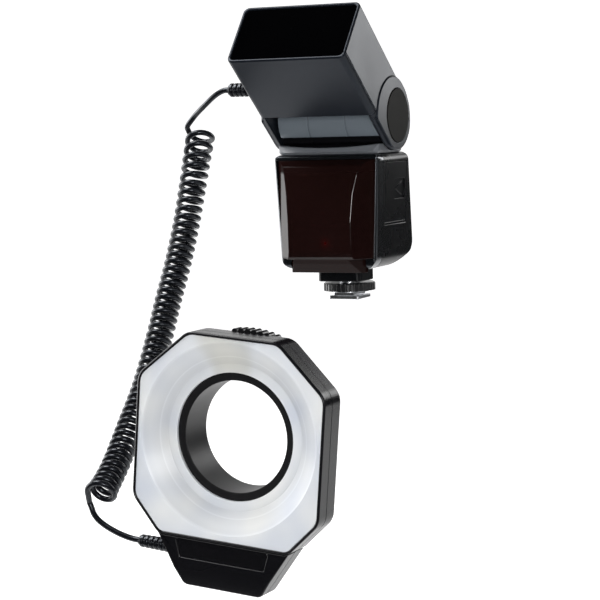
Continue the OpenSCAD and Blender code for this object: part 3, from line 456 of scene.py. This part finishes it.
def plastic(name, shades, roughness, grain=FINE_GRAIN, bump=0.15, smudge=0.1, specular=0.5, metallic=0.0,
            gloss=(1, 1, 1)):
    """Moulded plastic, rubber or metal: a drifting shade, a grained skin and smudged gloss."""
    finish, tree, skin = blank_finish(name)
    drift = place_drift(tree, shades)
    moulded = place_group(tree, MOULDED_SKIN, Grain_Size=grain, Roughness=roughness, Smudge=smudge)
    relief = add(tree, "ShaderNodeBump", {"Strength": bump, "Distance": GRAIN_DEPTH})
    tree.links.new(drift.outputs["Color"], skin.inputs["Base Color"])
    tree.links.new(moulded.outputs["Roughness"], skin.inputs["Roughness"])
    tree.links.new(moulded.outputs["Height"], relief.inputs["Height"])
    tree.links.new(relief.outputs["Normal"], skin.inputs["Normal"])
    set_values(skin, {"Specular IOR Level": specular, "Specular Tint": (*gloss, 1), "Metallic": metallic})
    return finish


COOL_GLOSS = (0.86, 0.92, 1.0)
BLUE_GLOSS = (0.76, 0.85, 1.0)
CASE_BLACKS = ((0.003, 0.0034, 0.0042), (0.0045, 0.005, 0.006))

CASE = plastic("satin_black_case", CASE_BLACKS, roughness=0.28, bump=0.015, specular=0.14)
FRAME = plastic("polished_frame", CASE_BLACKS, roughness=0.24, bump=0.03, specular=0.7, gloss=COOL_GLOSS)
HEAD = plastic("satin_blue_black_head", ((0.006, 0.0075, 0.011), (0.009, 0.011, 0.015)),
               roughness=0.32, specular=0.18, gloss=BLUE_GLOSS)
CAP = plastic("matt_cap", ((0.011, 0.0105, 0.0095), (0.015, 0.0145, 0.0135)),
              roughness=0.6, grain=1800.0, specular=0.05)
PLINTH = plastic("plinth_grey", ((0.14, 0.15, 0.166), (0.165, 0.175, 0.192)), roughness=0.3, specular=0.6)
PANEL = plastic("rear_panel_black", ((0.009, 0.009, 0.010), (0.013, 0.013, 0.014)),
                roughness=0.5, specular=0.3)
GRIP = plastic("grip_black", ((0.006, 0.006, 0.007), (0.009, 0.009, 0.010)), roughness=0.3, specular=0.45)
RING = plastic("ring_black", ((0.004, 0.004, 0.0052), (0.006, 0.006, 0.0075)),
               roughness=0.26, bump=0.08, specular=0.18)
GLOSS = plastic("polished_black", ((0.004, 0.004, 0.005), (0.006, 0.006, 0.007)),
                roughness=0.14, grain=600.0, bump=0.02, smudge=0.04, specular=0.4)
SMOKED = plastic("smoked_panel", ((0.0006, 0.0006, 0.0008), (0.001, 0.001, 0.0012)),
                 roughness=0.3, grain=600.0, bump=0.02, smudge=0.04, specular=0.0)
CORD = plastic("glossy_cord", ((0.0045, 0.005, 0.007), (0.0065, 0.007, 0.009)),
               roughness=0.26, grain=1500.0, bump=0.01, specular=0.36, gloss=COOL_GLOSS)
ADAPTER = plastic("black_anodised", ((0.007, 0.007, 0.008), (0.010, 0.010, 0.011)),
                  roughness=0.42, grain=3000.0, specular=0.3)
INNER = plastic("inner_plastic", ((0.05, 0.052, 0.056), (0.06, 0.062, 0.066)), roughness=0.5)
WHITE = plastic("white_plastic", ((0.78, 0.76, 0.71), (0.72, 0.7, 0.66)), roughness=0.45)
SILVER = plastic("silver_button", ((0.5, 0.51, 0.53), (0.56, 0.57, 0.59)), roughness=0.32)
BOARD = plastic("board_green", ((0.045, 0.15, 0.065), (0.055, 0.18, 0.075)), roughness=0.45)
SLEEVE = plastic("capacitor_sleeve", ((0.02, 0.03, 0.09), (0.025, 0.036, 0.1)), roughness=0.3)
WINDING = plastic("varnished_winding", ((0.4, 0.16, 0.06), (0.46, 0.2, 0.08)), roughness=0.35, metallic=1.0)
BRASS = plastic("plated_contacts", ((0.75, 0.6, 0.3), (0.8, 0.66, 0.36)), roughness=0.28, metallic=1.0)
STEEL = plastic("plain_steel", ((0.52, 0.53, 0.55), (0.58, 0.59, 0.61)),
                roughness=0.3, grain=900.0, metallic=1.0)
SCREW = plastic("dark_zinc_screws", ((0.2, 0.2, 0.21), (0.25, 0.25, 0.26)),
                roughness=0.35, grain=900.0, metallic=1.0)
PRINT = plastic("pale_print", ((0.5, 0.51, 0.52), (0.56, 0.57, 0.58)), roughness=0.55, bump=0.03)
BRIGHT = plastic("bright_reflector", ((0.85, 0.86, 0.87), (0.9, 0.91, 0.92)), roughness=0.15, metallic=1.0)
LAMP = plastic("red_lens", ((0.5, 0.02, 0.02), (0.42, 0.015, 0.015)), roughness=0.12, bump=0.02)


# Finishes: the milky cover. Its painted bands of light and shade lie between two radii in millimetres, each
# with its place there and its brightness; its painted reflection patches drift between two tints; the lamp
# holder behind it shows at the top as a painted shadow.

COVER_RADII = (33.0, 58.0)
# Painted light and shade: the brightness of the cover's colour at each share between the two radii
COVER_PAINTED_BANDS = [(0.0, 0.80), (0.19, 0.74), (0.24, 0.62), (0.34, 0.66), (0.36, 0.74), (0.38, 0.66),
               (0.52, 0.70), (0.63, 0.69), (0.68, 0.79), (0.74, 0.77), (1.0, 0.76)]
COVER_HUE = (0.98, 1.0, 1.03)
# Painted reflections: soft patches that darken and cool, or brighten and warm, the cover's colour
REFLECTION_PATCH_SCALE = 34.0
REFLECTION_PATCH_RANGE = (0.3, 0.7)
REFLECTION_PATCH_COOL = (0.79, 0.82, 0.88, 1)
REFLECTION_PATCH_WARM = (1.04, 1.03, 0.99, 1)
# Painted shadow of the lamp holder behind the cover: a darker tint in a narrow wedge at the top
HOLDER_SHADOW_RANGE = (0.93, 0.985)
HOLDER_PAINTED_SHADOW = (0.84, 0.83, 0.79, 1)


def cover_finish():
    """Milky polished cover, painted with rings of light and shade, reflection spots and a shadow at the top."""
    finish, tree, skin = blank_finish("milky_cover")
    ring = place_group(tree, ABOUT_THE_RING)
    share = add_range(tree, *COVER_RADII)
    # Bands of painted light and shade round the hole
    painted_bands = add(tree, "ShaderNodeValToRGB")
    set_stops(painted_bands, [(at, [value * hue for hue in COVER_HUE]) for at, value in COVER_PAINTED_BANDS])
    place = add(tree, "ShaderNodeTexCoord")
    # Soft patches of painted reflection
    reflection_patches = add(tree, "ShaderNodeTexNoise", {"Scale": REFLECTION_PATCH_SCALE, "Detail": 1.0})
    soft = add_range(tree, *REFLECTION_PATCH_RANGE)
    reflection_tints = add(tree, "ShaderNodeMix", {"A": REFLECTION_PATCH_COOL, "B": REFLECTION_PATCH_WARM}, data_type="RGBA")
    shade = add(tree, "ShaderNodeMix", {"Factor": 1.0}, data_type="RGBA", blend_type="MULTIPLY")
    height = add(tree, "ShaderNodeMath", operation="SINE")
    # Painted shadow of the lamp holder, at the top of the cover
    holder_shadow_mask = add_range(tree, *HOLDER_SHADOW_RANGE, interpolation_type="SMOOTHSTEP")
    painted_holder_shadow = add(tree, "ShaderNodeMix", {"B": HOLDER_PAINTED_SHADOW}, data_type="RGBA", blend_type="MULTIPLY")
    link = tree.links.new
    link(ring.outputs["Radius"], share.inputs["Value"])
    link(share.outputs["Result"], painted_bands.inputs["Fac"])
    link(place.outputs["Object"], reflection_patches.inputs["Vector"])
    link(reflection_patches.outputs["Fac"], soft.inputs["Value"])
    link(soft.outputs["Result"], reflection_tints.inputs["Factor"])
    link(painted_bands.outputs["Color"], shade.inputs["A"])
    link(reflection_tints.outputs["Result"], shade.inputs["B"])
    link(ring.outputs["Turn"], height.inputs[0])
    link(height.outputs[0], holder_shadow_mask.inputs["Value"])
    link(holder_shadow_mask.outputs["Result"], painted_holder_shadow.inputs["Factor"])
    link(shade.outputs["Result"], painted_holder_shadow.inputs["A"])
    link(painted_holder_shadow.outputs["Result"], skin.inputs["Base Color"])
    set_values(skin, {"Roughness": 0.38, "Coat Weight": 0.25, "Coat Roughness": 0.28,
                      "Subsurface Weight": 0.25, "Subsurface Radius": (4 * MM,) * 3})
    return finish


# Finishes: the front window. The lamp's painted glow has a height and a reach, and the polish is a coat whose
# weight changes up the window, at shares of its height.

WINDOW_REDS = ((0.0085, 0.0032, 0.003), (0.0125, 0.0048, 0.0042))
# Painted glow: the lamp's red light, painted into the window's colour round its place
PAINTED_GLOW_RED = (0.035, 0.003, 0.003, 1)
GLOW_HEIGHT = 34.2 * MM
GLOW_REACH = 6 * MM
GLOW_FALL = 3.0
WINDOW_POLISH = [(0.12, 0.15), (0.15, 0.8), (0.88, 0.8), (0.905, 0.05)]


def window_finish():
    """Polished dark red plastic, with the faint glow of the lamp behind it painted into its colour."""
    finish, tree, skin = blank_finish("dark_red_window")
    lamp_low, lamp_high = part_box("assist_lamp")
    window_low, window_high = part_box("front_window")
    lamp_at = Vector(((lamp_low.x + lamp_high.x) / 2, window_low.y, GLOW_HEIGHT))
    place = add(tree, "ShaderNodeTexCoord")
    centre = add(tree, "ShaderNodeMapping",
                 {"Location": -lamp_at / GLOW_REACH, "Scale": (1 / GLOW_REACH,) * 3})
    # The lamp's painted glow, fading out from its place
    glow = add(tree, "ShaderNodeTexGradient", gradient_type="SPHERICAL")
    faint = add(tree, "ShaderNodeMath", {1: GLOW_FALL}, operation="POWER")
    drift = place_drift(tree, WINDOW_REDS)
    mix = add(tree, "ShaderNodeMix", {"B": PAINTED_GLOW_RED}, data_type="RGBA")
    axes = add(tree, "ShaderNodeSeparateXYZ")
    rise = add_range(tree, window_low.z, window_high.z)
    polish = add(tree, "ShaderNodeValToRGB")
    set_stops(polish, [(at, (weight,) * 3) for at, weight in WINDOW_POLISH])
    link = tree.links.new
    link(place.outputs["Object"], centre.inputs["Vector"])
    link(centre.outputs["Vector"], glow.inputs["Vector"])
    link(glow.outputs["Fac"], faint.inputs[0])
    link(faint.outputs[0], mix.inputs["Factor"])
    link(drift.outputs["Color"], mix.inputs["A"])
    link(mix.outputs["Result"], skin.inputs["Base Color"])
    link(place.outputs["Object"], axes.inputs["Vector"])
    link(axes.outputs["Z"], rise.inputs["Value"])
    link(rise.outputs["Result"], polish.inputs["Fac"])
    link(polish.outputs["Color"], skin.inputs["Coat Weight"])
    set_values(skin, {"Roughness": 0.3, "Specular IOR Level": 0.0, "Coat Roughness": 0.1})
    return finish


# Finishes: the neck's barrel, whose lower part is painted black as shade up to a height, and the flash tubes'
# glass

BARREL_GREYS = ((0.12, 0.142, 0.163), (0.14, 0.165, 0.19))
# Painted shade: the black of the barrel's lower part, and the heights where it ends
PAINTED_UNDERSIDE_SHADE = (0.003, 0.003, 0.004, 1)
PAINTED_SHADE_TOP = (92.3 * MM, 92.9 * MM)
TUBE_TINTS = ((0.85, 0.9, 0.95), (0.9, 0.93, 0.96))


def barrel_finish():
    """Blue-grey barrel, painted black below a height as the shade beneath it, with no coat there."""
    finish, tree, skin = blank_finish("blue_grey_barrel")
    place = add(tree, "ShaderNodeTexCoord")
    axes = add(tree, "ShaderNodeSeparateXYZ")
    # 0 where the barrel is painted black as shade, 1 above it
    above = add_range(tree, *PAINTED_SHADE_TOP)
    drift = place_drift(tree, BARREL_GREYS)
    moulded = place_group(tree, MOULDED_SKIN, Grain_Size=FINE_GRAIN, Roughness=0.36, Smudge=0.1)
    mix = add(tree, "ShaderNodeMix", {"A": PAINTED_UNDERSIDE_SHADE}, data_type="RGBA")
    link = tree.links.new
    link(place.outputs["Object"], axes.inputs["Vector"])
    link(axes.outputs["Z"], above.inputs["Value"])
    link(above.outputs["Result"], mix.inputs["Factor"])
    link(drift.outputs["Color"], mix.inputs["B"])
    link(mix.outputs["Result"], skin.inputs["Base Color"])
    link(moulded.outputs["Roughness"], skin.inputs["Roughness"])
    link(above.outputs["Result"], skin.inputs["Coat Weight"])
    set_values(skin, {"Specular IOR Level": 0.1, "Coat Roughness": 0.25})
    return finish


def tube_finish():
    """Clear glass with a faint cool tint."""
    finish, tree, skin = blank_finish("tube_glass")
    drift = place_drift(tree, TUBE_TINTS)
    tree.links.new(drift.outputs["Color"], skin.inputs["Base Color"])
    set_values(skin, {"Transmission Weight": 1.0, "Roughness": 0.04})
    return finish


COVER = cover_finish()
WINDOW = window_finish()
BARREL = barrel_finish()
TUBE = tube_finish()

# Each node's finish, and the width in millimetres that its edges are rounded over (0 where it stays as it is)
DRESS = {
    "body_case": (CASE, 0.35), "front_frame": (FRAME, 0.15), "front_window": (WINDOW, 0.25),
    "battery_door": (CASE, 0.15), "rear_panel": (PANEL, 0.2), "foot_block": (CASE, 0.5),
    "lock_wheel": (GRIP, 0), "clamp_plate": (STEEL, 0), "shoe_foot": (STEEL, 0.25),
    "power_switch": (GRIP, 0.3), "test_button": (SILVER, 0.3), "neck_plinth": (PLINTH, 0.5),
    "neck_barrel": (BARREL, 0.2), "head_upper_shell": (HEAD, 0.5), "head_lower_shell": (HEAD, 0.5),
    "head_front_panel": (SMOKED, 0.3), "pivot_cap_left": (CAP, 0.25), "pivot_cap_right": (CAP, 0.25),
    "head_gland": (CORD, 0.25), "ring_front_shell": (RING, 0.6), "ring_rear_shell": (RING, 0),
    "ring_diffuser": (COVER, 0), "ring_plate": (GLOSS, 0.2), "ring_gland": (CORD, 0.25),
    "lock_ring": (GRIP, 0), "adapter_ring": (ADAPTER, 0.3), "retaining_ring": (ADAPTER, 0.2),
    "battery_cradle": (INNER, 0.3), "battery_contacts": (BRASS, 0), "main_board": (BOARD, 0),
    "main_capacitor": (SLEEVE, 0.5), "assist_lamp": (LAMP, 0), "ready_lamp": (LAMP, 0),
    "case_screws": (SCREW, 0), "shoe_contacts": (BRASS, 0), "door_pin": (STEEL, 0),
    "door_contact": (BRASS, 0), "tilt_shaft": (STEEL, 0), "tilt_washers": (STEEL, 0),
    "head_board": (BOARD, 0), "ring_reflector": (BRIGHT, 0), "flash_tube_left": (TUBE, 0),
    "flash_tube_right": (TUBE, 0), "tube_holders": (WHITE, 0.3), "trigger_board": (BOARD, 0),
    "trigger_coil": (WINDING, 0), "ring_screws": (SCREW, 0),
}


def dress_nodes():
    """Give each CAD node its finish, on a moulded copy where its edges are rounded."""
    for node, (finish, width) in DRESS.items():
        if width:
            soften(node, finish, width)
        else:
            nodes[node].data.materials.clear()
            nodes[node].data.materials.append(finish)


# Small details

def facing(way, up):
    """The turn that takes a shape drawn on X and Y, and seen from +Z, onto a face that looks along way."""
    across = up.cross(way).normalized()
    return Matrix((across, way.cross(across), way)).transposed()


def moved_verts(made):
    return [v for v in made["geom"] if isinstance(v, bmesh.types.BMVert)]


def thicken(bm, name, turn, at):
    """Give a flat drawing its thickness, put it on its face and keep it as a mesh."""
    raised = moved_verts(bmesh.ops.extrude_face_region(bm, geom=bm.faces[:]))
    bmesh.ops.translate(bm, verts=raised, vec=(0, 0, 2 * PRINT_PROUD))
    bmesh.ops.translate(bm, verts=bm.verts, vec=(0, 0, -PRINT_PROUD))
    bmesh.ops.recalc_face_normals(bm, faces=bm.faces)
    bmesh.ops.rotate(bm, verts=bm.verts, matrix=turn)
    bmesh.ops.translate(bm, verts=bm.verts, vec=at)
    mesh = bpy.data.meshes.new(name)
    bm.to_mesh(mesh)
    bm.free()
    return mesh


def head_middles(node, way):
    """Middles of a node's screw heads, on the side that they are driven from."""
    points = [vert.co for vert in nodes[node].data.vertices]
    outer = max(p.dot(way) for p in points) - RIM_REACH
    heads = []
    for p in (q for q in points if q.dot(way) > outer):
        near = [head for head in heads if (head[0] - p).length < SCREW_HEAD]
        if near:
            near[0].append(p)
        else:
            heads.append([p])
    return [Vector([(min(c) + max(c)) / 2 for c in zip(*head)]) for head in heads]


def painted_cross_shades(node, way, up):
    """A dark cross on each of a node's screw heads, painted as the shade of its recess."""
    for count, at in enumerate(head_middles(node, way), 1):
        bm = bmesh.new()
        bmesh.ops.create_grid(bm, x_segments=1, y_segments=1, size=CROSS_HALF)
        for line in bm.edges[:]:
            out = (line.verts[0].co + line.verts[1].co).normalized()
            arm = moved_verts(bmesh.ops.extrude_edge_only(bm, edges=[line]))
            bmesh.ops.translate(bm, verts=arm, vec=out * CROSS_ARM)
        # Each cross is a thin dark plate on the head, painted shade in place of a recess
        name = f"{node}_cross_{count}"
        piece = new_piece(name, thicken(bm, name, facing(way, up), at))
        finish_piece(piece, nodes[node]["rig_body"], PANEL)


def panel_face():
    """A point on the rear panel's outer face, and the way that it looks."""
    faces = [face for face in nodes["rear_panel"].data.polygons if face.normal.y > PANEL_SLOPE]
    face = max(faces, key=lambda f: f.center.dot(f.normal))
    return face.center.copy(), face.normal.copy()


def on_panel(node, point, way):
    """A node's middle, carried straight back onto the rear panel's outer face."""
    low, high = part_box(node)
    middle = (low + high) / 2
    return middle + way * (point - middle).dot(way)


def rear_marks():
    """Printed marks on the rear panel: rings round the button and the lamp, and the switch's two ends."""
    point, way = panel_face()
    turn = facing(way, UP)
    body = nodes["rear_panel"]["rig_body"]
    for node, radius in RINGED.items():
        bm = bmesh.new()
        bmesh.ops.create_circle(bm, segments=PRINT_SIDES, radius=radius)
        wider = (radius + PRINT_LINE) / radius
        rim = moved_verts(bmesh.ops.extrude_edge_only(bm, edges=bm.edges[:]))
        bmesh.ops.scale(bm, verts=rim, vec=(wider, wider, 1))
        name = node + "_mark"
        piece = new_piece(name, thicken(bm, name, turn, on_panel(node, point, way)))
        finish_piece(piece, body, PRINT)
    for name, (shift, size) in SWITCH_MARKS.items():
        bm = bmesh.new()
        bmesh.ops.create_grid(bm, x_segments=1, y_segments=1, size=MM / 2)
        bmesh.ops.scale(bm, verts=bm.verts, vec=(*size, 1))
        bmesh.ops.translate(bm, verts=bm.verts, vec=Vector((*shift, 0)) * MM)
        piece = new_piece(name, thicken(bm, name, turn, on_panel("power_switch", point, way)))
        finish_piece(piece, body, PRINT)


# Studio, in metres: a round sheet of paper, soft lamps (place, size, watts and aim) and black cards (corner and
# two sides)

FLOOR_Z = -0.2
BOWL_R = 4.5
BEND_R = 1.0
BEND_STEPS = 12
BOWL_TOP = 3.0
BOWL_STEPS = 64
PAPER_GREY = (0.82, 0.82, 0.82, 1)
PAPER_REACH = (0.9, 2.2)
PAPER_FILL = 0.62
CARD_BLACK = (0.01, 0.01, 0.01, 1)
WHITE_LIGHT = (1, 1, 1, 1)
WORLD_LIGHT = 0.07
AIM = (0, -0.06, 0.02)
LAMPS = {
    "overhead_box": ((-0.66, -0.28, 1.15), (0.9, 0.6), 20, AIM),
    "left_box": ((-1.5, -0.1, 0.2), (1.0, 1.0), 18, AIM),
    "right_strip": ((0.34, 0.62, 0.24), (0.25, 0.28), 1.3, (0.04, -0.05, 0.14)),
    "camera_box": ((0.7, -1.5, 0.2), (0.35, 0.35), 12, AIM),
}
CARDS = {
    "dark_card_right": ((0.12, 0.7, FLOOR_Z), (3, 0, 0), (0, 0, 2.2)),
    "dark_card_front": ((-4, -4, FLOOR_Z + 0.01), (8, 0, 0), (0, 3.8, 0)),
    "dark_card_wall": ((-3.2, -3, FLOOR_Z), (6.4, 0, 0), (0, 0, 3)),
    "dark_card_side": ((3.2, -3, FLOOR_Z), (0, 3.7, 0), (0, 0, 0.5)),
}


def make_camera():
    """The viewpoint, level at first and then rolled."""
    flat = math.cos(CAMERA_DOWN)
    ahead = Vector((-math.sin(CAMERA_YAW) * flat, math.cos(CAMERA_YAW) * flat, -math.sin(CAMERA_DOWN)))
    level = Vector((math.cos(CAMERA_YAW), math.sin(CAMERA_YAW), 0))
    above = level.cross(ahead)
    right = math.cos(CAMERA_ROLL) * level + math.sin(CAMERA_ROLL) * above
    up = math.cos(CAMERA_ROLL) * above - math.sin(CAMERA_ROLL) * level
    data = bpy.data.cameras.new("camera")
    data.lens = CAMERA_LENS
    data.sensor_width = CAMERA_SENSOR
    camera = new_piece("camera", data)
    camera.matrix_world = Matrix.Translation(CAMERA_AT) @ Matrix((right, up, -ahead)).transposed().to_4x4()
    bpy.context.scene.camera = camera


def soft_box(name, at, size, power, aim):
    """A soft lamp that isn't itself in the picture."""
    data = bpy.data.lights.new(name, "AREA")
    data.shape = "RECTANGLE"
    data.size, data.size_y = size
    data.energy = power
    lamp = new_piece(name, data)
    lamp.location = at
    lamp.rotation_euler = (Vector(aim) - Vector(at)).to_track_quat("-Z", "Y").to_euler()
    lamp.visible_camera = False


def paper_finish():
    """White paper that keeps soft shadows, and shows as white in the picture, in gloss and in glass."""
    finish, tree, skin = blank_finish("studio_paper")
    set_values(skin, {"Base Color": PAPER_GREY, "Roughness": 0.9, "Specular IOR Level": 0.0,
                      "Emission Color": WHITE_LIGHT})
    ray = add(tree, "ShaderNodeLightPath")
    seen = add(tree, "ShaderNodeMath", operation="MAXIMUM")
    either = add(tree, "ShaderNodeMath", operation="MAXIMUM")
    share = add(tree, "ShaderNodeMath", operation="MULTIPLY")
    place = add(tree, "ShaderNodeTexCoord")
    away = add(tree, "ShaderNodeVectorMath", operation="LENGTH")
    fill = set_values(add_range(tree, *PAPER_REACH), {"To Min": PAPER_FILL})
    link = tree.links.new
    link(place.outputs["Object"], away.inputs[0])
    link(away.outputs["Value"], fill.inputs["Value"])
    link(fill.outputs["Result"], share.inputs[1])
    link(ray.outputs["Is Camera Ray"], seen.inputs[0])
    link(ray.outputs["Is Glossy Ray"], seen.inputs[1])
    link(seen.outputs[0], either.inputs[0])
    link(ray.outputs["Is Transmission Ray"], either.inputs[1])
    link(either.outputs[0], share.inputs[0])
    link(share.outputs[0], skin.inputs["Emission Strength"])
    return finish


def make_bowl():
    """Floor and a wall all round it in one curved sheet of paper."""
    bm = bmesh.new()
    centre = bm.verts.new((0, 0, FLOOR_Z))
    bend = bm.verts.new((BOWL_R - BEND_R, 0, FLOOR_Z))
    bm.edges.new((centre, bend))
    made = bmesh.ops.spin(bm, geom=[bend], cent=(BOWL_R - BEND_R, 0, FLOOR_Z + BEND_R), axis=(0, -1, 0),
                          angle=math.radians(90), steps=BEND_STEPS)
    tip = [v for v in made["geom_last"] if isinstance(v, bmesh.types.BMVert)][0]
    top = bm.verts.new((BOWL_R, 0, BOWL_TOP))
    bm.edges.new((tip, top))
    bmesh.ops.spin(bm, geom=bm.verts[:] + bm.edges[:], cent=(0, 0, 0), axis=(0, 0, 1),
                   angle=math.radians(360), steps=BOWL_STEPS, use_merge=True)
    bmesh.ops.remove_doubles(bm, verts=bm.verts, dist=0.1 * MM)
    bmesh.ops.recalc_face_normals(bm, faces=bm.faces)
    mesh = bpy.data.meshes.new("studio_bowl")
    bm.to_mesh(mesh)
    bm.free()
    mesh.shade_smooth()
    mesh.materials.append(paper_finish())
    new_piece("studio_bowl", mesh)


def dark_card(name, corner, side, rise):
    """A black card beside the set, that only reflections see."""
    bm = bmesh.new()
    corner, side, rise = Vector(corner), Vector(side), Vector(rise)
    bm.faces.new([bm.verts.new(p) for p in (corner, corner + side, corner + side + rise, corner + rise)])
    mesh = bpy.data.meshes.new(name)
    bm.to_mesh(mesh)
    bm.free()
    finish, _, skin = blank_finish(name)
    set_values(skin, {"Base Color": CARD_BLACK, "Specular IOR Level": 0.0})
    mesh.materials.append(finish)
    card = new_piece(name, mesh)
    card.visible_camera = False
    card.visible_diffuse = False
    card.visible_shadow = False


def make_studio():
    bpy.context.scene.view_settings.view_transform = "Standard"
    world = bpy.data.worlds.new("studio")
    world.use_nodes = True
    set_values(world.node_tree.nodes["Background"], {"Color": WHITE_LIGHT, "Strength": WORLD_LIGHT})
    bpy.context.scene.world = world
    for name, lamp in LAMPS.items():
        soft_box(name, *lamp)
    make_bowl()
    for name, card in CARDS.items():
        dark_card(name, *card)


make_camera()
make_cord(CORD)
dress_nodes()
painted_cross_shades("ring_screws", BACK, UP)
painted_cross_shades("case_screws", DOWN, BACK)
rear_marks()
make_studio()
bpy.context.view_layer.update()
